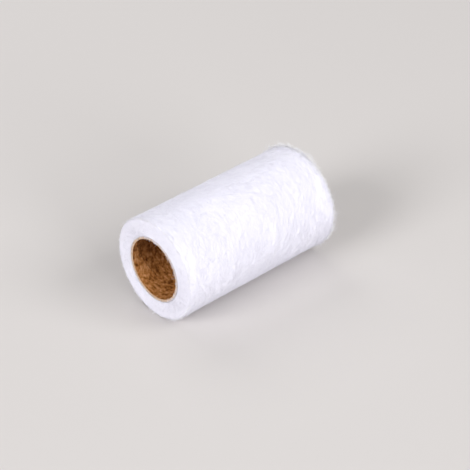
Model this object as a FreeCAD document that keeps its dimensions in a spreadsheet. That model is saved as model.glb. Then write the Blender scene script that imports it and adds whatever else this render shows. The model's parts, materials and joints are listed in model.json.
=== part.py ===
import FreeCAD, Part
import Sketcher
import math
import os

# A roll of white fleece web wound on a spiral paper core, lying on its side.
# Millimetres. +X runs along the roll's axis, +Z is up, and the origin is under the middle of the roll, on the
# surface that it lies on. Angles around the roll are counted from straight down towards the back (+Y).

DRIVING_SIZES = {
    "roll_length": 113.4,
    "outer_radius": 32.0,  # the loose end's outer face, about its own centre
    "pressed_depth": 0.2,  # how far the underside is pressed flat by the roll's weight
    "bore_radius": 19.0,
    "ply_thickness": 0.33,
    "glue_line": 0.02,
    "seam_lead": 40.0,  # how far a paper strip advances along the core in one turn
    "seam_start": 34.9,  # how far outside the near end the inner ply's seam crosses the back
    "seam_stagger": 9.0,  # how far the next ply's seam is moved along the core
    "seam_width": 0.35,
    "web_thickness": 0.4,
    "layer_gap": 0.06,
    "groove_depth": 1.0,  # how deep the line between two layers is open at the roll's ends
    "tape_thickness": 0.05,
    "tape_clearance": 0.01,
    "tape_sweep": 36.0,
    "tape_begin": 352.0,
    "tail_root": 10.0,
    "tail_step": 20.0,  # the arc of the roll that one piece of the loose end covers
    "tail_clearance": 0.1,
}
PLY_COUNT = 4
HALF_TURN_COUNT = 48
TAIL_COUNT = 6

doc = FreeCAD.newDocument("web_roll")


def make_sheet():
    sheet = doc.addObject("Spreadsheet::Sheet", "sizes")
    for row, (alias, value) in enumerate(DRIVING_SIZES.items(), start=1):
        sheet.set(f"A{row}", alias)
        sheet.set(f"B{row}", str(value))
        sheet.setAlias(f"B{row}", alias)
    doc.recompute()
    return sheet


sizes = make_sheet()


def size(alias):
    return float(sizes.get(alias))


def around(angle, radius):
    """The (y, z) offset of a point at an angle counted from straight down towards the back."""
    turn = math.radians(angle)
    return radius * math.sin(turn), -radius * math.cos(turn)


# The web winds in half circles about two centres that lie half a pitch apart, in line with the tail's root.
# The back centre carries every half circle behind the roll and the front centre every one before it.
half_pitch = (size("web_thickness") + size("layer_gap")) / 2
shift_y, shift_z = around(size("tail_root"), half_pitch / 2)
axis_height = size("outer_radius") - half_pitch - shift_z - size("pressed_depth")
back_centre = (-shift_y, axis_height - shift_z)
front_centre = (shift_y, axis_height + shift_z)


# ---- sketch helpers ----


def origin_item(body, role):
    return next(item for item in body.Origin.OriginFeatures if item.Role == role)


def attached_sketch(body, name, plane):
    sketch = body.newObject("Sketcher::SketchObject", name)
    sketch.AttachmentSupport = [(origin_item(body, plane), "")]
    sketch.MapMode = "FlatFace"
    return sketch


def bind(sketch, kind, where, value, expression):
    """Adds a dimension to a sketch and ties it to the sheet."""
    index = sketch.addConstraint(Sketcher.Constraint(kind, *where, value))
    sketch.setExpression(f"Constraints[{index}]", expression)


def centred_circle(sketch, radius, expression):
    circle = Part.Circle(FreeCAD.Vector(0, 0, 0), FreeCAD.Vector(0, 0, 1), radius)
    index = sketch.addGeometry(circle, False)
    sketch.addConstraint(Sketcher.Constraint("Coincident", index, 3, -1, 1))
    bind(sketch, "Radius", [index], radius, expression)


def rectangle(sketch, left, bottom, width, height):
    """A rectangle whose four sizes are (value, expression) pairs."""
    corners = [
        (left[0], bottom[0]),
        (left[0] + width[0], bottom[0]),
        (left[0] + width[0], bottom[0] + height[0]),
        (left[0], bottom[0] + height[0]),
    ]
    for start, end in zip(corners, corners[1:] + corners[:1]):
        sketch.addGeometry(Part.LineSegment(FreeCAD.Vector(*start), FreeCAD.Vector(*end)), False)
    for side in range(4):
        sketch.addConstraint(Sketcher.Constraint("Coincident", side, 2, (side + 1) % 4, 1))
        direction = "Horizontal" if side % 2 == 0 else "Vertical"
        sketch.addConstraint(Sketcher.Constraint(direction, side))
    bind(sketch, "DistanceX", [-1, 1, 0, 1], *left)
    bind(sketch, "DistanceY", [-1, 1, 0, 1], *bottom)
    bind(sketch, "DistanceX", [0, 1, 0, 2], *width)
    bind(sketch, "DistanceY", [1, 1, 1, 2], *height)


# ---- the paper core ----


def make_ply(number):
    """One spiral-wound paper ply: a thin tube with the helical butt seam of its strip cut through it."""
    step = f"{number - 1} * (sizes.ply_thickness + sizes.glue_line)"
    inner = size("bore_radius") + (number - 1) * (size("ply_thickness") + size("glue_line"))
    start = -size("roll_length") / 2 - size("seam_start") + (number - 1) * size("seam_stagger")

    body = doc.addObject("PartDesign::Body", f"core_ply_{number}")
    body.Label = f"core_ply_{number}"
    body.Placement = FreeCAD.Placement(FreeCAD.Vector(0, 0, axis_height), FreeCAD.Rotation())

    ring = attached_sketch(body, f"ring_{number}", "YZ_Plane")
    centred_circle(ring, inner, f"sizes.bore_radius + {step}")
    centred_circle(ring, inner + size("ply_thickness"), f"sizes.bore_radius + sizes.ply_thickness + {step}")
    tube = body.newObject("PartDesign::Pad", f"tube_{number}")
    tube.Profile = ring
    tube.Midplane = True
    tube.setExpression("Length", "sizes.roll_length")

    slot = attached_sketch(body, f"seam_slot_{number}", "XY_Plane")
    rectangle(
        slot,
        left=(start, f"-sizes.roll_length / 2 - sizes.seam_start + {number - 1} * sizes.seam_stagger"),
        bottom=(inner - size("ply_thickness"), f"sizes.bore_radius - sizes.ply_thickness + {step}"),
        width=(size("seam_width"), "sizes.seam_width"),
        height=(3 * size("ply_thickness"), "3 * sizes.ply_thickness"),
    )
    seam = body.newObject("PartDesign::SubtractiveHelix", f"seam_{number}")
    seam.Profile = slot
    seam.ReferenceAxis = (origin_item(body, "X_Axis"), [""])
    seam.LeftHanded = True
    seam.setExpression("Pitch", "sizes.seam_lead")
    seam.setExpression("Height", "sizes.roll_length + sizes.seam_start + sizes.seam_lead")
    return body


# ---- strips bent around the roll ----


def bent_strip(name, centre, inner, outer, begin, sweep):
    """A strip bent around the roll. Its two radii and its sweep are expressions on the sheet."""
    along_axis = FreeCAD.Rotation(FreeCAD.Vector(0, 1, 0), 90)
    turned = along_axis.multiply(FreeCAD.Rotation(FreeCAD.Vector(0, 0, 1), begin))
    place = FreeCAD.Placement(FreeCAD.Vector(-size("roll_length") / 2, *centre), turned)
    outside = doc.addObject("Part::Cylinder", f"{name}_outside")
    inside = doc.addObject("Part::Cylinder", f"{name}_inside")
    for cylinder, radius in ((outside, outer), (inside, inner)):
        cylinder.setExpression("Radius", radius)
        cylinder.setExpression("Height", "sizes.roll_length")
        cylinder.Placement = place
    outside.setExpression("Angle", sweep)
    strip = doc.addObject("Part::Cut", name)
    strip.Base = outside
    strip.Tool = inside
    strip.Label = name
    return strip


def make_start_tape():
    plies = f"sizes.bore_radius + {PLY_COUNT} * sizes.ply_thickness + {PLY_COUNT - 1} * sizes.glue_line"
    inner = f"{plies} + sizes.tape_clearance"
    return bent_strip(
        "start_tape",
        (0, axis_height),
        inner,
        f"{inner} + sizes.tape_thickness",
        size("tape_begin"),
        "sizes.tape_sweep",
    )


def make_tail_piece(number):
    """One stiff piece of the web's loose end, clear of its neighbours by half of the clearance at each end."""
    half_clear = math.degrees(size("tail_clearance") / 2 / size("outer_radius"))
    begin = size("tail_root") + (number - 1) * size("tail_step") + half_clear
    return bent_strip(
        f"tail_{number}",
        back_centre,
        "sizes.outer_radius - sizes.web_thickness",
        "sizes.outer_radius",
        begin,
        f"sizes.tail_step - {2 * half_clear}",
    )


# ---- the wound web ----


def spiral_arcs(outer_radius, indices, trim=0.0):
    """Half circles of the spiral, from the tail's root inwards. Index 0 is the outermost one, in front."""
    edges = []
    for index in indices:
        in_front = index % 2 == 0
        centre = front_centre if in_front else back_centre
        begin = size("tail_root") + (360 if in_front else 180) - (trim if index == 0 else 0)
        end = size("tail_root") + (180 if in_front else 0)
        spots = []
        for angle in (begin, (begin + end) / 2, end):
            y, z = around(angle, outer_radius - index * half_pitch)
            spots.append(FreeCAD.Vector(-size("roll_length") / 2, centre[0] + y, centre[1] + z))
        edges.append(Part.Arc(*spots).toShape())
    return edges


def closed_wire(*chains):
    """One closed wire from chains of edges, with a straight line from each chain's end to the next one's start."""
    edges = [edge for chain in chains for edge in chain]
    for chain, following in zip(chains, chains[1:] + chains[:1]):
        edges.append(Part.makeLine(chain[-1].Vertexes[-1].Point, following[0].Vertexes[0].Point))
    return Part.Wire(Part.__sortEdges__(edges))


def reversed_chain(edges):
    turned = []
    for edge in reversed(edges):
        first, last = edge.Vertexes[0].Point, edge.Vertexes[-1].Point
        middle = edge.valueAt((edge.FirstParameter + edge.LastParameter) / 2)
        turned.append(Part.Arc(last, middle, first).toShape())
    return turned


def make_web():
    """All the turns that stay on the roll: pressed together, with the spiral line between them open at both ends
    of the roll, and flat underneath."""
    length = size("roll_length")
    outer_face = size("outer_radius") - half_pitch
    inner_face = outer_face - size("web_thickness")
    trim = math.degrees(size("tail_clearance") / 2 / size("outer_radius"))
    outside = closed_wire(spiral_arcs(outer_face, (0, 1), trim))
    inside = closed_wire(spiral_arcs(inner_face, (HALF_TURN_COUNT - 2, HALF_TURN_COUNT - 1)))
    turns = Part.Face(outside).extrude(FreeCAD.Vector(length, 0, 0))
    turns = turns.cut(Part.Face(inside).extrude(FreeCAD.Vector(length, 0, 0)))

    between = range(HALF_TURN_COUNT - 2)
    gap_outer = spiral_arcs(inner_face, between)
    gap_inner = reversed_chain(spiral_arcs(inner_face - size("layer_gap"), between))
    gap = Part.Face(closed_wire(gap_outer, gap_inner))
    for shift in (0, length - size("groove_depth")):
        groove = gap.extrude(FreeCAD.Vector(size("groove_depth"), 0, 0))
        groove.translate(FreeCAD.Vector(shift, 0, 0))
        turns = turns.cut(groove)

    reach = 2 * size("outer_radius")
    ground = Part.makeBox(length + 2, reach, reach, FreeCAD.Vector(-length / 2 - 1, -reach / 2, -reach))
    web = doc.addObject("Part::Feature", "web_wound")
    web.Label = "web_wound"
    web.Shape = turns.cut(ground)
    return web


# ---- build, check and write ----

pieces = [make_ply(number) for number in range(1, PLY_COUNT + 1)]
pieces.append(make_start_tape())
pieces.append(make_web())
pieces += [make_tail_piece(number) for number in range(1, TAIL_COUNT + 1)]
doc.recompute()

for item in doc.Objects:
    if "Invalid" in item.State or "Error" in item.State:
        raise RuntimeError(f"{item.Label} did not build")

os.makedirs("parts", exist_ok=True)
for piece in pieces:
    if piece.Shape.isNull() or not piece.Shape.isValid():
        raise RuntimeError(f"{piece.Label} has no valid shape")
    piece.Shape.exportStep(f"parts/{piece.Label}.step")
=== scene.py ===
import json
import math

import bpy
import numpy as np
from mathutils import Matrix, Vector


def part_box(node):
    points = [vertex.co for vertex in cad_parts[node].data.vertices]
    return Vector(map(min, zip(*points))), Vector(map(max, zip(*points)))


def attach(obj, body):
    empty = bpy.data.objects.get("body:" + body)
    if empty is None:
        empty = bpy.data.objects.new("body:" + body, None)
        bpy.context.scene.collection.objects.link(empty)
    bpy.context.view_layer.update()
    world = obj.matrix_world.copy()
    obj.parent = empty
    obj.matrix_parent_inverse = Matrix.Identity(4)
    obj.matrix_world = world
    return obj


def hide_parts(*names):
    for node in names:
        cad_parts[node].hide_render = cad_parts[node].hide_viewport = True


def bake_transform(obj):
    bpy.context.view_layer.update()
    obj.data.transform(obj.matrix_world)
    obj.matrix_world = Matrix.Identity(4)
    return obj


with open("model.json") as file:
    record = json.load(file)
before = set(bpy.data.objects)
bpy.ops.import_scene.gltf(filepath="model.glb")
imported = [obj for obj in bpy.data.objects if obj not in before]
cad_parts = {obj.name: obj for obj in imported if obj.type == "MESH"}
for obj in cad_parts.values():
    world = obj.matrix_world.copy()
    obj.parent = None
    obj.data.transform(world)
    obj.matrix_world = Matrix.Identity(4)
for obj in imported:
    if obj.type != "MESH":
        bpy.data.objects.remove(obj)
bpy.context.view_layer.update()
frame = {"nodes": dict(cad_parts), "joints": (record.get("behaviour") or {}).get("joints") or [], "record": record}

# A roll of white fleece web on a brown paper core. Metres. +X is the roll's axis, and angles around
# the roll are in degrees from straight down towards the back (+Y). The web's angle keeps counting
# along the strip: it is least at the first turn on the core, passes the tail's root, and is
# greatest at the free edge.

MM = 0.001
UV_MAP = "OFBake"  # the map that colours are baked to

mounts = {mount["name"]: mount for mount in frame["record"]["mounts"]}
bore = mounts["core_bore"]
AXIS_Z = bore["pos_m"][2]
HALF_LENGTH = bore["dims"]["length_mm"] * MM / 2
BORE_RADIUS = bore["dims"]["r_mm"] * MM
core_low, core_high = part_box("core_ply_4")
CORE_RADIUS = (core_high.y - core_low.y) / 2

WEB_THICKNESS = 0.4 * MM
LAYER_GAP = 0.06 * MM
PITCH = WEB_THICKNESS + LAYER_GAP
TURNS = 24


def angle_of(point):
    return math.degrees(math.atan2(point[1], AXIS_Z - point[2]))


hinges = [joint["pos_m"] for joint in frame["joints"]]
ROOT_ANGLE = angle_of(hinges[0])
ROOT_RADIUS = math.hypot(hinges[0][1], hinges[0][2] - AXIS_Z)
TAIL_STEP = angle_of(hinges[1]) - ROOT_ANGLE
FREE_ANGLE = ROOT_ANGLE + TAIL_STEP * len(hinges)
SPLIT_ANGLE = ROOT_ANGLE - TAIL_STEP / 2  # where the still part of the outer turn ends
UNDER_TAIL = FREE_ANGLE - 360
SECOND_TURN = ROOT_ANGLE - 360
FIRST_ANGLE = ROOT_ANGLE - 360 * TURNS


# ---- the web's surface ----

relief_rng = np.random.default_rng(11)
RELIEF_WAVES = [
    # (lobes around the roll, waves per metre along it, height)
    (2, 4, 0.08 * MM),
    (3, 14, 0.03 * MM),
    (5, -22, 0.012 * MM),
    (8, 38, 0.007 * MM),
    (13, -70, 0.004 * MM),
]
RELIEF_PHASES = relief_rng.uniform(0, 2 * math.pi, len(RELIEF_WAVES))


def relief(angle, x):
    """How far the wound web stands in or out of a true spiral."""
    total = np.zeros(np.broadcast(angle, x).shape)
    for (lobes, waves, height), phase in zip(RELIEF_WAVES, RELIEF_PHASES):
        total += height * np.cos(lobes * np.radians(angle) + 2 * math.pi * waves * x + phase)
    return total


def spiral_radius(angle):
    return ROOT_RADIUS + PITCH * (angle - ROOT_ANGLE) / 360


def depth_share(angle):
    """0 at the core and 1 at the outer turn."""
    return np.clip((spiral_radius(angle) - CORE_RADIUS) / (ROOT_RADIUS - CORE_RADIUS), 0, 1)


NEAR_DROOP = 0.75 * MM  # how far the outer turn's rim sinks at the near end
FAR_DROOP = -0.15 * MM  # the far rim flares a little
EDGE_REACH = 1.5 * MM  # how far along the roll a droop fades
PRESS_SOFTNESS = 0.12 * MM  # how gently the underside turns flat


def surface_point(angle, x, height):
    """Points in the row frame that stand height above the web's outer face."""
    share = depth_share(angle)
    from_end = np.maximum(HALF_LENGTH - np.abs(x), 0)
    droop = np.where(x < 0, NEAR_DROOP, FAR_DROOP) * share**4 * np.exp(-from_end / EDGE_REACH)
    radius = spiral_radius(angle) + share * relief(angle, x) - droop + height
    turn = np.radians(angle)
    z = AXIS_Z - radius * np.cos(turn)
    z = (z + np.sqrt(z * z + PRESS_SOFTNESS**2)) / 2
    return np.stack(np.broadcast_arrays(x, radius * np.sin(turn), z), axis=-1)


def layer_edge(angle):
    """How far each layer's cut edge lies inside (-) or outside the roll's nominal end."""
    turn = np.radians(angle)
    wander = 0.03 * np.sin(0.37 * turn) + 0.02 * np.sin(1.13 * turn + 2)
    wander = wander + 0.02 * np.sin(2.71 * turn + 4)
    return MM * (wander - 0.6 * depth_share(angle) ** 8)


# ---- meshes ----


def make_mesh(name, points, faces, uv=None):
    """An object from points and faces. faces is a list of arrays, each of one number of corners."""
    mesh = bpy.data.meshes.new(name)
    mesh.vertices.add(len(points))
    mesh.vertices.foreach_set("co", np.asarray(points, np.float32).ravel())
    corners = np.concatenate([group.ravel() for group in faces])
    sizes = np.concatenate([np.full(len(group), group.shape[1]) for group in faces])
    mesh.loops.add(len(corners))
    mesh.loops.foreach_set("vertex_index", corners.astype(np.int32))
    mesh.polygons.add(len(sizes))
    starts = np.concatenate([[0], np.cumsum(sizes)[:-1]])
    mesh.polygons.foreach_set("loop_start", starts.astype(np.int32))
    mesh.polygons.foreach_set("use_smooth", np.ones(len(sizes), bool))
    mesh.update(calc_edges=True)
    if uv is not None:
        layer = mesh.uv_layers.new(name=UV_MAP)
        corner_uv = np.concatenate([group.reshape(-1, 2) for group in uv])
        layer.data.foreach_set("uv", corner_uv.astype(np.float32).ravel())
    mesh.validate()
    made = bpy.data.objects.new(name, mesh)
    bpy.context.scene.collection.objects.link(made)
    return made


def end_spaced(half, edge_step, middle_count):
    """Places from -half to half, with a few close together at each end."""
    middle = np.linspace(-half + 3 * edge_step, half - 3 * edge_step, middle_count)
    steps = edge_step * np.array([0, 0.35, 1.2])
    return np.concatenate([-half + steps, middle, half - steps[::-1]])


EDGE_STEP = 0.5 * MM  # the spacing of the points next to a cut edge
EDGE_BULGE = 0.12 * MM  # how far the middle of a cut edge stands out
EDGE_FOCUS = 24  # how closely a layer's wander stays at its ends


def web_strip(name, first, last, step, middle_count, ragged_end=False):
    """A closed length of the web between two angles, with both its faces and its soft cut edges."""
    stations = np.linspace(first, last, max(3, math.ceil(abs(last - first) / step) + 1))
    across = end_spaced(HALF_LENGTH, EDGE_STEP, middle_count)
    count = len(across)
    x = np.concatenate([across, [HALF_LENGTH], across[::-1], [-HALF_LENGTH]])
    middle = [-WEB_THICKNESS / 2]
    height = np.concatenate([np.zeros(count), middle, np.full(count, -WEB_THICKNESS), middle])
    bulge = np.zeros(len(x))
    bulge[[count, -1]] = (EDGE_BULGE, -EDGE_BULGE)
    edge = layer_edge(stations)[:, None]
    squeeze = np.sign(x) * (np.abs(x) / HALF_LENGTH) ** EDGE_FOCUS
    places = x[None, :] + bulge[None, :] + edge * squeeze[None, :]
    angles = np.repeat(stations[:, None], len(x), axis=1)
    if ragged_end:
        pull = 0.5 + 0.28 * np.sin(900 * places) + 0.22 * np.sin(2300 * places + 1)
        angles[-1] -= 1.1 * pull[-1]
        angles[-2] -= 0.5 * pull[-2]
    points = surface_point(angles, places, height[None, :])
    return strip_object(name, points)


UV_MARGIN = 0.01


def strip_object(name, points):
    """Skins rings of points into a closed strip with one UV chart."""
    rings, around = points.shape[:2]
    ring = np.arange(rings - 1)[:, None]
    spot = np.arange(around)[None, :]
    after = (spot + 1) % around
    here, ahead = ring * around, (ring + 1) * around
    quads = np.stack([here + spot, here + after, ahead + after, ahead + spot], axis=-1)
    quads = quads.reshape(-1, 4)
    left, low = ring + 0 * spot, spot + 0 * ring
    u = np.stack([left, left, left + 1, left + 1], axis=-1) / (rings - 1)
    v = np.stack([low, low + 1, low + 1, low], axis=-1) / around
    uv = UV_MARGIN + (1 - 2 * UV_MARGIN) * np.stack([u, v], axis=-1).reshape(-1, 4, 2)
    first_cap = np.arange(around)[::-1][None, :]
    last_cap = (rings - 1) * around + np.arange(around)[None, :]
    cap_uv = np.full((1, around, 2), UV_MARGIN / 2)
    faces = [quads, first_cap, last_cap]
    made = make_mesh(name, points.reshape(-1, 3), faces, [uv, cap_uv, cap_uv])
    ends = np.empty(2 * len(made.data.edges), np.int32)
    made.data.edges.foreach_get("vertices", ends)
    ring_of = ends.reshape(-1, 2) // around
    # crisp cap rims keep the faces of one strip shading smoothly into the next
    on_cap = (ring_of == 0).all(axis=1) | (ring_of == rings - 1).all(axis=1)
    crisp = made.data.attributes.new("sharp_edge", "BOOLEAN", "EDGE")
    crisp.data.foreach_set("value", on_cap)
    return made


SIDES = 3
SHADE = "shade"  # a number from 0 to 1 for each filament
CELL_MARGIN = 0.1  # the empty border of a filament's cell in the UV map


def tubes(name, lines, counts, radii, reference):
    """One mesh of thin closed filaments. lines is (filaments, places, 3), counts the places that
    each one uses, and reference a direction for each place that the filament doesn't run along."""
    filaments, places = lines.shape[:2]
    along = np.gradient(lines, axis=1)
    along /= np.maximum(np.linalg.norm(along, axis=2, keepdims=True), 1e-12)
    side = np.cross(along, reference)
    side /= np.maximum(np.linalg.norm(side, axis=2, keepdims=True), 1e-12)
    up = np.cross(side, along)
    step = np.arange(places)[None, :]
    share = np.clip(step / np.maximum(counts[:, None] - 1, 1), 0, 1)
    thick = radii[:, None] * (0.55 + 0.45 * np.sin(math.pi * share) ** 0.5)
    rings = []
    for corner in range(SIDES):
        turn = 2 * math.pi * corner / SIDES
        rings.append(lines + thick[..., None] * (math.cos(turn) * side + math.sin(turn) * up))
    points = np.stack(rings, axis=2)

    index = np.arange(filaments * places * SIDES).reshape(filaments, places, SIDES)
    used = step[:, :-1] + 1 < counts[:, None]
    cell = 1 - 2 * CELL_MARGIN
    quads, uv = [], []
    columns = max(1, math.ceil(math.sqrt(filaments / 4)))
    rows = math.ceil(filaments / columns)
    column = (np.arange(filaments) % columns)[:, None]
    row = (np.arange(filaments) // columns)[:, None]
    for corner in range(SIDES):
        after = (corner + 1) % SIDES
        behind, ahead = index[:, :-1], index[:, 1:]
        face = [behind[..., corner], behind[..., after], ahead[..., after], ahead[..., corner]]
        quads.append(np.stack(face, axis=-1)[used])
        u, v = [], []
        for on, over in ((0, 0), (0, 1), (1, 1), (1, 0)):
            run = (step[:, :-1] + on) / (places - 1)
            u.append((column + CELL_MARGIN + cell * run) / columns)
            v.append((row + CELL_MARGIN + cell * (corner + over) / SIDES) / rows + 0 * run)
        uv.append(np.stack([np.stack(u, axis=-1), np.stack(v, axis=-1)], axis=-1)[used])
    first = index[:, 0, ::-1]
    last = index[np.arange(filaments), counts - 1]
    middle_uv = np.concatenate([(column + 0.5) / columns, (row + 0.5) / rows], axis=1)
    cap_uv = np.repeat(middle_uv[:, None, :], SIDES, axis=1)
    faces = [np.concatenate(quads), first, last]
    corners = np.concatenate([group.ravel() for group in faces])
    kept, flat = np.unique(corners, return_inverse=True)
    packed, start = [], 0
    for group in faces:
        packed.append(flat[start : start + group.size].reshape(group.shape))
        start += group.size
    charts = [np.concatenate(uv), cap_uv, cap_uv]
    made = make_mesh(name, points.reshape(-1, 3)[kept], packed, charts)
    own_shade = np.random.default_rng(filaments).random(filaments)
    shade = made.data.attributes.new(SHADE, "FLOAT", "POINT")
    shade.data.foreach_set("value", own_shade[kept // (places * SIDES)].astype(np.float32))
    return made


# ---- filaments ----


def outward(angle):
    turn = np.radians(angle)
    return np.stack([np.zeros_like(turn), np.sin(turn), -np.cos(turn)], axis=-1)


def tipped(angle, along):
    """A direction out of the roll and partly along it, for filaments that don't run that way."""
    return outward(angle) + np.array([along, 0, 0])


def flow(angle, x):
    """The lie of the filaments in radians from straight around the roll. Neighbours run nearly
    side by side."""
    turn = np.radians(angle)
    slant = 0.38 * (1 + np.tanh(2.5 * np.cos(turn - 1.9)))
    swirl = 0.26 * np.sin(2 * turn + 58 * x + 1) + 0.14 * np.sin(5 * turn - 130 * x + 2.2)
    return slant + swirl + 0.08 * np.sin(11 * turn + 270 * x)


FILAMENT_STEP = 1.15 * MM
FILAMENT_PLACES = 30
FILAMENT_SPILL = 1.3 * MM  # how far a filament may reach past a cut end
CROSSING_SHARE = 0.22  # the filaments that cross the lie of the rest


def surface_filaments(name, seed, count, first, last, length, side=1, spread=0.4):
    """Curly filaments that lie on the web between two angles. Those that reach a cut end stop just
    past it. side scales how far they stand off the web, and is below 0 on its inner face."""
    rng = np.random.default_rng(seed)
    step, places = FILAMENT_STEP, FILAMENT_PLACES
    crossing = rng.random(count) < CROSSING_SHARE
    own = np.where(crossing, rng.uniform(-1.5, 1.5, count), rng.normal(0, spread, count))
    way = rng.choice([-1, 1], count)
    curl = rng.uniform(0.1, 0.5, count)
    curl_waves = rng.uniform(500, 1500, count)
    curl_phase = rng.uniform(0, 2 * math.pi, count)
    bend = rng.normal(0, 22, count)
    angle = np.zeros((count, places))
    x = np.zeros((count, places))
    angle[:, 0] = rng.uniform(first, last, count)
    x[:, 0] = rng.uniform(-HALF_LENGTH, HALF_LENGTH, count)
    for place in range(1, places):
        run = place * step
        heading = flow(angle[:, place - 1], x[:, place - 1]) + own + bend * run
        heading += curl * np.sin(curl_waves * run + curl_phase)
        turned = way * step * np.cos(heading) / spiral_radius(angle[:, place - 1])
        angle[:, place] = angle[:, place - 1] + np.degrees(turned)
        x[:, place] = x[:, place - 1] + way * step * np.sin(heading)
    limit = HALF_LENGTH + rng.uniform(-0.2 * MM, FILAMENT_SPILL, count) * rng.random(count)
    wanted = np.clip(rng.normal(length, 0.3 * length, count) / step, 5, places).astype(int)
    outside = (angle < first) | (angle > last) | (np.abs(x) > limit[:, None])
    outside[:, -1] = True
    counts = np.minimum(np.argmax(outside, axis=1), wanted)
    good = counts >= 4
    angle, x, counts = angle[good], x[good], counts[good]
    run = np.arange(places)[None, :] * step
    lift = rng.uniform(-0.03 * MM, 0.07 * MM, len(angle))[:, None]
    ripple = 0.02 * MM * np.sin(900 * run + rng.uniform(0, 6, len(angle))[:, None])
    height = side * (lift + ripple) + (0 if side > 0 else -WEB_THICKNESS)
    lines = surface_point(angle, x, height)
    is_thick = rng.random(len(angle)) < 0.25
    radii = np.where(is_thick, rng.uniform(0.05, 0.08, len(angle)), 0.03) * MM
    return tubes(name, lines, counts, radii, outward(angle))


def stray_hairs(name, seed, count, first, last, length, rise, ends_only=False):
    """Loose filament ends that leave the web's face, arch up and come back towards it."""
    rng = np.random.default_rng(seed)
    places = 12
    share = np.linspace(0, 1, places)[None, :]
    size = rng.uniform(0.5, 1.4, count) * length
    heading = rng.uniform(0, 2 * math.pi, count)[:, None]
    heading = heading + rng.normal(0, 1.0, count)[:, None] * share
    step = (size / (places - 1))[:, None]
    angle0 = rng.uniform(first, last, count)[:, None]
    x0 = rng.uniform(-HALF_LENGTH, HALF_LENGTH, count)[:, None]
    if ends_only:
        x0 = np.sign(x0) * (HALF_LENGTH - rng.uniform(0, 2.5 * MM, count)[:, None])
    angle = angle0 + np.degrees(np.cumsum(np.cos(heading), axis=1) * step / ROOT_RADIUS)
    x = x0 + np.cumsum(np.sin(heading), axis=1) * step
    peak = rise * rng.uniform(0.3, 1.3, count)[:, None]
    height = peak * np.sin(share * rng.uniform(1.6, 3.0, count)[:, None])
    lines = surface_point(angle, x, height)
    radii = rng.uniform(0.025, 0.045, count) * MM
    return tubes(name, lines, np.full(count, places), radii, tipped(angle, 0.35))


def end_fuzz(name, seed, count, direction, reach):
    """Cut filament ends that stand out of the layers' edges at one end of the roll, where direction
    is -1 for the near end and 1 for the far one."""
    rng = np.random.default_rng(seed)
    places = 6
    share = np.linspace(0, 1, places)[None, :]
    squared = rng.uniform(CORE_RADIUS**2, ROOT_RADIUS**2, count)
    turn_angle = SECOND_TURN - 360 * (ROOT_RADIUS - np.sqrt(squared)) / PITCH
    turn_angle = np.maximum(turn_angle, FIRST_ANGLE)[:, None] + rng.uniform(0, 360, count)[:, None]
    size = rng.gamma(2.5, 0.26 * MM, count)[:, None]
    lean = rng.normal(0, 1.1, count)[:, None]
    tangential = np.degrees(size * share * np.sin(lean) / spiral_radius(turn_angle))
    curl = rng.normal(0, 0.8, count)[:, None] * size * share
    angle = turn_angle + tangential
    base = HALF_LENGTH + layer_edge(turn_angle) - 0.1 * MM
    x = direction * (base + reach * size * np.sin(2.2 * share) * np.maximum(np.cos(lean), 0.15))
    lines = surface_point(angle, x, curl - WEB_THICKNESS / 2)
    radii = rng.uniform(0.03, 0.06, count) * MM
    return tubes(name, lines, np.full(count, places), radii, tipped(angle, 0.3))


TUFT_HAIRS = 4


def rim_fuzz(name, seed, tufts, first, last, direction, length, curl):
    """Tufts of cut ends on the outer turn's rim, some along the roll and some out from it."""
    rng = np.random.default_rng(seed)
    places = 6
    count = tufts * TUFT_HAIRS
    share = np.linspace(0, 1, places)[None, :]

    def each(per_tuft, spread):
        return (np.repeat(per_tuft, TUFT_HAIRS) + rng.normal(0, spread, count))[:, None]

    start = np.clip(each(rng.uniform(first, last, tufts), 0.45), first, last)
    size = np.repeat(rng.gamma(4.0, length / 4, tufts), TUFT_HAIRS)[:, None]
    size = size * rng.uniform(0.5, 1.1, count)[:, None]
    rise = each(rng.uniform(0.0, 0.9, tufts) ** 2 + 0.1, 0.15)
    rise = rise + each(rng.normal(curl, 0.4, tufts), 0.2) * share
    sideways = each(rng.normal(0, 0.7, tufts), 0.15) * size * share
    angle = start + np.degrees(sideways / ROOT_RADIUS)
    base = HALF_LENGTH + layer_edge(start) - rng.uniform(0, 0.8 * size[:, 0], count)[:, None]
    x = direction * (base + size * share * np.cos(rise))
    height = size * share * np.sin(rise) + 0.02 * MM
    lines = surface_point(angle, x, height)
    radii = rng.uniform(0.04, 0.09, count) * MM
    return tubes(name, lines, np.full(count, places), radii, tipped(angle, 0.4))


def core_edge_fuzz(name, seed, count, direction):
    """Filaments of the first turns that hang over the core's cut rim."""
    rng = np.random.default_rng(seed)
    places = 6
    share = np.linspace(0, 1, places)[None, :]
    turn = rng.uniform(0, 2 * math.pi, count)[:, None]
    size = rng.gamma(3.0, 0.3 * MM, count)[:, None]
    inward = rng.uniform(0.2, 1.15, count)[:, None]
    radius = CORE_RADIUS + 0.3 * MM - inward * size * share
    turn = turn + rng.normal(0, 0.7, count)[:, None] * size * share / CORE_RADIUS
    x = direction * (HALF_LENGTH + 0.45 * size * np.sin(2.6 * share) + 0.02 * MM)
    lines = np.stack([x, radius * np.sin(turn), AXIS_Z - radius * np.cos(turn)], axis=-1)
    reference = np.stack([0.6 + 0 * turn, np.sin(turn), -np.cos(turn)], axis=-1)
    radii = rng.uniform(0.03, 0.055, count) * MM
    return tubes(name, lines, np.full(count, places), radii, reference)


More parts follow.
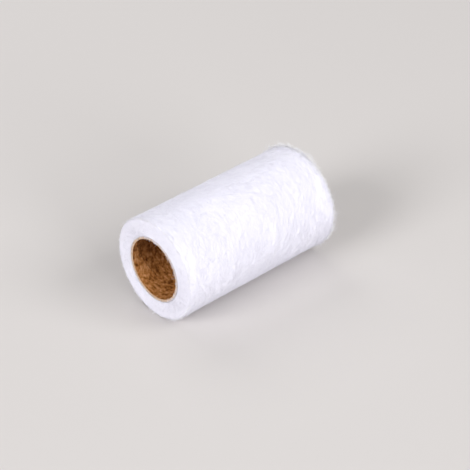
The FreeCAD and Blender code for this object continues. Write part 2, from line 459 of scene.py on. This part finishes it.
def rim_hairs(name, seed, count):
    """The long loose hairs that curve off the top of the far rim."""
    rng = np.random.default_rng(seed)
    places = 22
    share = np.linspace(0, 1, places)[None, :]
    size = rng.uniform(7, 22, count)[:, None] * MM
    start = rng.uniform(-250, -140, count)[:, None]
    way = rng.choice([-1, 1], count)[:, None]
    angle = start + way * np.degrees(size * share * 0.8 / ROOT_RADIUS)
    x0 = HALF_LENGTH - rng.uniform(0, 3.5, count)[:, None] * MM
    drift = rng.uniform(-0.15, 0.35, count)[:, None] * size
    wave = 0.6 * MM * np.sin(7 * share + rng.uniform(0, 6, count)[:, None])
    x = x0 + drift * share + wave * share
    peak = rng.uniform(0.5, 2.4, count)[:, None] * MM
    height = peak * np.sin(math.pi * share ** rng.uniform(0.6, 1.3, count)[:, None])
    lines = surface_point(angle, x, height)
    radii = rng.uniform(0.08, 0.13, count) * MM
    return tubes(name, lines, np.full(count, places), radii, tipped(angle, 0.2))


# ---- materials ----


class Nodes:
    """A material's node tree, with short calls to add and join nodes."""

    def __init__(self, name):
        self.material = bpy.data.materials.new(name)
        self.material.use_nodes = True
        self.tree = self.material.node_tree
        self.shader = next(node for node in self.tree.nodes if node.type == "BSDF_PRINCIPLED")
        self.coordinates = self.tree.nodes.new("ShaderNodeTexCoord")

    def add(self, kind, **settings):
        node = self.tree.nodes.new(kind)
        for key, value in settings.items():
            setattr(node, key, value)
        return node

    def join(self, output, socket):
        self.tree.links.new(output, socket)

    def noise(self, scale, stretch=(1, 1, 1), detail=3.0, roughness=0.5):
        """Noise in the row frame. stretch shortens its grain along each axis."""
        mapping = self.add("ShaderNodeMapping")
        mapping.inputs["Scale"].default_value = stretch
        self.join(self.coordinates.outputs["Object"], mapping.inputs["Vector"])
        noise = self.add("ShaderNodeTexNoise")
        noise.inputs["Scale"].default_value = scale
        noise.inputs["Detail"].default_value = detail
        noise.inputs["Roughness"].default_value = roughness
        self.join(mapping.outputs["Vector"], noise.inputs["Vector"])
        return noise.outputs["Fac"]

    def ramp(self, factor, stops):
        ramp = self.add("ShaderNodeValToRGB")
        elements = ramp.color_ramp.elements
        while len(elements) < len(stops):
            elements.new(0.5)
        for element, (place, colour) in zip(elements, stops):
            element.position = place
            element.color = (*colour, 1)
        self.join(factor, ramp.inputs["Fac"])
        return ramp.outputs["Color"]

    def mix(self, factor, one, other, blend="MIX"):
        mix = self.add("ShaderNodeMix", data_type="RGBA", blend_type=blend)
        sockets = (mix.inputs[0], mix.inputs[6], mix.inputs[7])  # the factor and the two colours
        for value, socket in zip((factor, one, other), sockets):
            if isinstance(value, (int, float)):
                socket.default_value = value
            elif isinstance(value, tuple):
                socket.default_value = (*value, 1)
            else:
                self.join(value, socket)
        return mix.outputs[2]

    def times(self, one, other):
        return self.mix(1.0, one, other, blend="MULTIPLY")

    def math(self, operation, one, other=None):
        node = self.add("ShaderNodeMath", operation=operation)
        for value, socket in ((one, node.inputs[0]), (other, node.inputs[1])):
            if isinstance(value, (int, float)):
                socket.default_value = value
            elif value is not None:
                self.join(value, socket)
        return node.outputs[0]

    def bump(self, height, strength, distance):
        bump = self.add("ShaderNodeBump")
        bump.inputs["Strength"].default_value = strength
        bump.inputs["Distance"].default_value = distance
        self.join(height, bump.inputs["Height"])
        self.join(bump.outputs["Normal"], self.shader.inputs["Normal"])

    def finish(self, colour, roughness, specular=0.2, sheen=0.0):
        self.join(colour, self.shader.inputs["Base Color"])
        self.shader.inputs["Roughness"].default_value = roughness
        self.shader.inputs["Specular IOR Level"].default_value = specular
        self.shader.inputs["Sheen Weight"].default_value = sheen
        return self.material


def grey(value):
    return (value, value, value)


def scaled(colour, light):
    return tuple(min(1, light * part) for part in colour)


def fleece_material():
    """White nonwoven web: faint lavender clouds, and a fine relief of crossing filaments."""
    nodes = Nodes("white_fleece")
    cloud = nodes.noise(90, detail=2.0)
    streak = nodes.noise(700, stretch=(1.6, 0.35, 0.35), detail=4.0, roughness=0.65)
    base = nodes.ramp(cloud, [(0.3, (0.88, 0.87, 0.955)), (0.7, (0.90, 0.89, 0.97))])
    threads = nodes.ramp(streak, [(0.35, (0.96, 0.96, 0.97)), (0.6, (1.0, 1.0, 1.0))])
    colour = nodes.times(base, threads)
    grain = nodes.noise(1500, stretch=(1.2, 0.5, 0.5), detail=3.0, roughness=0.7)
    nodes.bump(nodes.math("ADD", streak, grain), strength=0.3, distance=0.07 * MM)
    return nodes.finish(colour, roughness=0.95, specular=0.15)


def filament_material(name, light):
    """White filaments, each a little lighter or darker at random. light scales the colours, and above 1 it is
    painted light.
    """
    nodes = Nodes(name)
    own = nodes.add("ShaderNodeAttribute", attribute_name=SHADE).outputs["Fac"]
    cloud = nodes.math("MULTIPLY", nodes.noise(400, detail=1.0), 0.3)
    tint = nodes.math("ADD", cloud, nodes.math("MULTIPLY", own, 0.7))
    stops = [(0.15, (0.80, 0.79, 0.885)), (0.4, (0.88, 0.87, 0.96)), (0.8, (0.93, 0.92, 0.99))]
    colour = nodes.ramp(tint, [(place, scaled(stop, light)) for place, stop in stops])
    return nodes.finish(colour, roughness=0.8, specular=0.25, sheen=0.25)


KRAFT_DARK = (0.13, 0.036, 0.002)
KRAFT_MIDDLE = (0.54, 0.215, 0.052)
KRAFT_LIGHT = (0.92, 0.50, 0.23)
# painted shade that darkens the board beside the seam in the upper bore
PAINTED_BORE_SHADE = (0.42, 0.38, 0.33)
CUT_PAPER = (0.74, 0.54, 0.38)
SEAM_LEAD = 40 * MM  # how far the seam advances along the core in one turn
SEAM_START = 136  # degrees, where the inner ply's seam meets the near end


def kraft_material(name, light):
    """Brown core board: blotches, streaks, a spiral seam, and paler torn paper at the cut ends, with painted shade
    in the upper bore and a painted highlight on the seam's lip.
    """
    nodes = Nodes(name)
    blotch = nodes.noise(430, stretch=(1.2, 0.8, 0.8), detail=3.0, roughness=0.6)
    streak = nodes.noise(900, stretch=(1.3, 0.7, 0.7), detail=3.0, roughness=0.6)
    blotch_part = nodes.math("MULTIPLY", blotch, 0.65)
    mixed = nodes.math("ADD", blotch_part, nodes.math("MULTIPLY", streak, 0.35))
    stops = [(0.36, KRAFT_DARK), (0.5, KRAFT_MIDDLE), (0.66, KRAFT_LIGHT)]
    stops = [(spot, tuple(light * part for part in colour)) for spot, colour in stops]
    face = nodes.ramp(mixed, stops)
    place = nodes.add("ShaderNodeSeparateXYZ")
    nodes.join(nodes.coordinates.outputs["Object"], place.inputs[0])
    down = nodes.math("SUBTRACT", AXIS_Z, place.outputs["Z"])
    turn = nodes.math("ARCTAN2", place.outputs["Y"], down)
    along = nodes.math("DIVIDE", nodes.math("ADD", place.outputs["X"], HALF_LENGTH), SEAM_LEAD)
    wraps = nodes.math("ADD", nodes.math("DIVIDE", turn, 2 * math.pi), along)
    phase = nodes.math("FRACT", nodes.math("ADD", wraps, 2 - SEAM_START / 360))
    # painted shade: the band beside the seam is darkened strongly in the upper bore and faintly in the lower; the
    # seam's gap line and painted lip highlight fade the same way
    rise = nodes.math("SUBTRACT", place.outputs["Z"], AXIS_Z)
    height = nodes.math("ADD", nodes.math("DIVIDE", rise, 2 * BORE_RADIUS), 0.5)
    upper_shade_mask = nodes.ramp(height, [(0.1, grey(0.15)), (0.65, grey(1))])
    seam_band_shade = nodes.ramp(phase, [(0.0, grey(1)), (0.4, grey(1)), (0.8, grey(0.66))])
    face = nodes.mix(nodes.times(seam_band_shade, upper_shade_mask), face, nodes.times(face, PAINTED_BORE_SHADE))
    # painted highlight: a pale line along the seam's lip, faint in the lower bore
    lip_highlight = nodes.ramp(phase, [(0.93, grey(0)), (0.97, grey(0.18)), (0.995, grey(0))])
    face = nodes.mix(nodes.times(lip_highlight, upper_shade_mask), face, KRAFT_LIGHT)
    gap = nodes.ramp(phase, [(0.0, grey(0.6)), (0.03, grey(0))])
    face = nodes.mix(nodes.times(gap, upper_shade_mask), face, KRAFT_DARK)
    from_end = nodes.math("SUBTRACT", HALF_LENGTH, nodes.math("ABSOLUTE", place.outputs["X"]))
    torn = nodes.math("MULTIPLY", nodes.noise(900, detail=2.0), 0.9 * MM)
    worn = nodes.math("GREATER_THAN", nodes.math("SUBTRACT", torn, 0.25 * MM), from_end)
    paper = nodes.ramp(streak, [(0.3, scaled(CUT_PAPER, 0.78)), (0.7, CUT_PAPER)])
    colour = nodes.mix(worn, face, paper)
    nodes.bump(mixed, strength=0.3, distance=0.06 * MM)
    return nodes.finish(colour, roughness=0.82, specular=0.2)


def tape_material():
    nodes = Nodes("start_tape")
    colour = nodes.ramp(nodes.noise(300), [(0.4, (0.72, 0.69, 0.58)), (0.6, (0.82, 0.80, 0.70))])
    return nodes.finish(colour, roughness=0.4)


def torn_paper_material():
    nodes = Nodes("torn_paper")
    colour = nodes.ramp(nodes.noise(1200), [(0.35, CUT_PAPER), (0.65, (0.86, 0.70, 0.58))])
    return nodes.finish(colour, roughness=0.9)


def give(obj, material):
    obj.data.materials.clear()
    obj.data.materials.append(material)
    return obj


# ---- the core ----


def core_fray(name, seed, count, direction):
    """Torn paper fibres around the core's cut rim."""
    rng = np.random.default_rng(seed)
    places = 5
    share = np.linspace(0, 1, places)[None, :]
    clumps = rng.uniform(0, 360, 14)
    turn = np.radians(rng.choice(clumps, count) + rng.normal(0, 9, count))[:, None]
    start = rng.uniform(BORE_RADIUS, CORE_RADIUS, count)[:, None]
    size = rng.gamma(2.0, 0.2 * MM, count)[:, None]
    lean = rng.normal(0, 0.8, count)[:, None]
    radius = start + 0.4 * size * share * np.sin(lean)
    turn = turn + size * share * np.sin(3 * lean) / BORE_RADIUS
    past_rim = size * share * np.cos(lean) * (1 - 0.4 * share)
    x = direction * (HALF_LENGTH - 0.05 * MM + past_rim) + 0 * turn
    lines = np.stack([x, radius * np.sin(turn), AXIS_Z - radius * np.cos(turn)], axis=-1)
    reference = np.stack([0 * turn, np.sin(turn), -np.cos(turn)], axis=-1)
    radii = rng.uniform(0.03, 0.075, count) * MM
    return tubes(name, lines, np.full(count, places), radii, reference)


PLY_LIGHTS = (1.0, 0.45, 0.9, 1.1)  # from the bore outwards


def dress_core():
    for number, light in enumerate(PLY_LIGHTS, start=1):
        ply = frame["nodes"][f"core_ply_{number}"]
        give(ply, kraft_material(f"kraft_{number}", light))
    give(frame["nodes"]["start_tape"], tape_material())
    torn = torn_paper_material()
    for name, seed, direction in (("core_fray_near", 31, -1), ("core_fray_far", 32, 1)):
        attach(give(core_fray(name, seed, 260, direction), torn), "roll")


# ---- the web ----


# tuft length and how much the tufts curl out
NEAR_TUFTS = (1.0 * MM, -0.5)
FAR_TUFTS = (1.7 * MM, 0.2)
RIMS = [
    # (end, seed, direction, how far the end's fuzz stands out, tufts on the rim, their shape)
    ("near", 70, -1, 0.8, 210, NEAR_TUFTS),
    ("far", 71, 1, 0.3, 330, FAR_TUFTS),
]


def make_still_web(fleece, filament, brightened_cut_ends):
    """All of the web that stays on the roll."""
    inner = give(web_strip("web_inner_turns", FIRST_ANGLE, SECOND_TURN, 4, 5), fleece)
    outer = give(web_strip("web_outer_turn", SECOND_TURN, SPLIT_ANGLE, 1.5, 84), fleece)
    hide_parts("web_wound")
    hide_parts("web_wound")
    shown = (UNDER_TAIL, SPLIT_ANGLE + 1)
    loose = [
        surface_filaments(f"filaments_{part + 1}", 40 + part, 1400, *shown, 24 * MM)
        for part in range(6)
    ]
    loose += [
        surface_filaments("filaments_under_tail", 50, 1900, SECOND_TURN, UNDER_TAIL, 20 * MM),
        stray_hairs("stray_hairs", 60, 2800, *shown, 3.0 * MM, 0.6 * MM),
        stray_hairs("stray_rim_hairs", 61, 420, *shown, 4 * MM, 1.0 * MM, ends_only=True),
    ]
    cut = []
    for end, seed, direction, reach, tufts, shape in RIMS:
        loose.append(end_fuzz(f"{end}_end_fuzz", seed, 6100, direction, reach))
        cut.append(rim_fuzz(f"{end}_rim_fuzz", seed + 2, tufts, *shown, direction, *shape))
        loose.append(core_edge_fuzz(f"{end}_core_fuzz", seed + 4, 1300, direction))
    cut.append(rim_hairs("far_rim_hairs", 80, 34))
    for piece in loose:
        give(piece, filament)
    # painted light: the rim tufts and hairs get filaments painted brighter than the rest
    for piece in cut:
        give(piece, brightened_cut_ends)
    for piece in (inner, outer, *loose, *cut):
        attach(piece, "roll")


def on_web(angle):
    return tuple(surface_point(np.array(angle, float), np.array(0.0), 0.0))


TAIL_OVERLAP = 1.2  # degrees that the outer filaments of one tail piece reach over its neighbours
TAIL_SPREAD = 0.9  # how freely the tail's filaments leave the lie of the rest


def make_tail_piece(number, fleece, filament, brightened_cut_ends):
    """One piece of the web's loose end. It reaches from the middle of one stiff CAD piece to the middle
    of the next, across the hinge between them."""
    hinge_angle = ROOT_ANGLE + TAIL_STEP * (number - 1)
    first = hinge_angle - TAIL_STEP / 2
    bend_end = hinge_angle + TAIL_STEP / 2
    is_last = number == len(hinges)
    last = FREE_ANGLE if is_last else bend_end
    strip = web_strip(f"tail_web_{number}", first, last, 1.0, 60, ragged_end=is_last)
    give(strip, fleece)
    over = surface_filaments(
        f"tail_filaments_{number}",
        90 + number,
        1100,
        first - TAIL_OVERLAP,
        last + TAIL_OVERLAP,
        14 * MM,
        spread=TAIL_SPREAD,
    )
    under = surface_filaments(
        f"tail_back_filaments_{number}",
        190 + number,
        420,
        first,
        last,
        12 * MM,
        side=-0.2,
        spread=TAIL_SPREAD,
    )
    near = rim_fuzz(f"tail_near_rim_{number}", 290 + number, 19, first, last, -1, *NEAR_TUFTS)
    far = rim_fuzz(f"tail_far_rim_{number}", 390 + number, 30, first, last, 1, *FAR_TUFTS)
    give(over, filament)
    give(under, filament)
    # painted light: the rim tufts get the brighter filaments
    give(near, brightened_cut_ends)
    give(far, brightened_cut_ends)
    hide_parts(f"tail_{number}")
    for piece in (strip, over, under, near, far):
        on_web(first)
        on_web(bend_end)
        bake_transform(piece)


# ---- the stage ----

FLOOR_SIZE = 6.0
FLOOR_COLOUR = (0.67, 0.642, 0.632)
WORLD_COLOUR = (1.0, 0.99, 0.975)
WORLD_STRENGTH = 0.28
LIGHTS = [
    # (name, azimuth, elevation, distance, width, power)
    ("side_light", -87, 29, 3.5, 1.6, 77),
    ("front_light", -8, 15, 3.5, 1.4, 46),
    ("right_light", 24, 40, 3.5, 1.8, 54),
    ("back_light", 172, 44, 1.6, 0.8, 5.4),
]


def make_floor():
    bpy.ops.mesh.primitive_plane_add(size=FLOOR_SIZE, location=(0, 0, 0))
    floor = bpy.context.object
    floor.name = "floor"
    nodes = Nodes("pale_floor")
    nodes.shader.inputs["Base Color"].default_value = (*FLOOR_COLOUR, 1)
    nodes.shader.inputs["Roughness"].default_value = 0.9
    floor.data.materials.append(nodes.material)


def aim(obj, place, target):
    obj.location = place
    obj.rotation_mode = "QUATERNION"
    obj.rotation_quaternion = (Vector(target) - Vector(place)).to_track_quat("-Z", "Y")


def direction(azimuth, elevation):
    """From the roll to a place: azimuth 0 is in front (-Y) and -90 beyond the near end (-X)."""
    azimuth, elevation = math.radians(azimuth), math.radians(elevation)
    flat = math.cos(elevation)
    return Vector((math.sin(azimuth) * flat, -math.cos(azimuth) * flat, math.sin(elevation)))


def add_area_light(name, azimuth, elevation, distance, width, power):
    light = bpy.data.lights.new(name, "AREA")
    light.size = width
    light.energy = power
    lamp = bpy.data.objects.new(name, light)
    bpy.context.scene.collection.objects.link(lamp)
    target = Vector((0, 0, AXIS_Z))
    aim(lamp, target + direction(azimuth, elevation) * distance, target)


def make_lights():
    world = bpy.data.worlds.new("studio")
    bpy.context.scene.world = world
    world.use_nodes = True
    background = world.node_tree.nodes["Background"]
    background.inputs["Color"].default_value = (*WORLD_COLOUR, 1)
    background.inputs["Strength"].default_value = WORLD_STRENGTH
    for light in LIGHTS:
        add_area_light(*light)
    bpy.context.scene.view_settings.view_transform = "Standard"


CAMERA_AZIMUTH = -42.2
CAMERA_ELEVATION = 35.05
CAMERA_DISTANCE = 35  # in roll radii
CAMERA_LENS = 145.4  # mm, on a sensor of 36 mm
CAMERA_SHIFT = (0.0163, -0.0081)


def make_camera():
    camera = bpy.data.cameras.new("camera")
    camera.lens = CAMERA_LENS
    camera.sensor_width = 36
    camera.shift_x, camera.shift_y = CAMERA_SHIFT
    camera.clip_start = 0.05
    holder = bpy.data.objects.new("camera", camera)
    bpy.context.scene.collection.objects.link(holder)
    target = Vector((0, 0, AXIS_Z))
    back = direction(CAMERA_AZIMUTH, CAMERA_ELEVATION)
    aim(holder, target + back * CAMERA_DISTANCE * ROOT_RADIUS, target)
    bpy.context.scene.camera = holder


dress_core()
white_fleece = fleece_material()
white_filament = filament_material("white_filament", 1.0)
# painted light: the cut ends on the rims are 1.09 times brighter, to offset the shade in their dense tufts
brightened_cut_filament = filament_material("brightened_cut_filament", 1.09)
make_still_web(white_fleece, white_filament, brightened_cut_filament)
for tail_number in range(1, len(hinges) + 1):
    make_tail_piece(tail_number, white_fleece, white_filament, brightened_cut_filament)
make_floor()
make_lights()
make_camera()
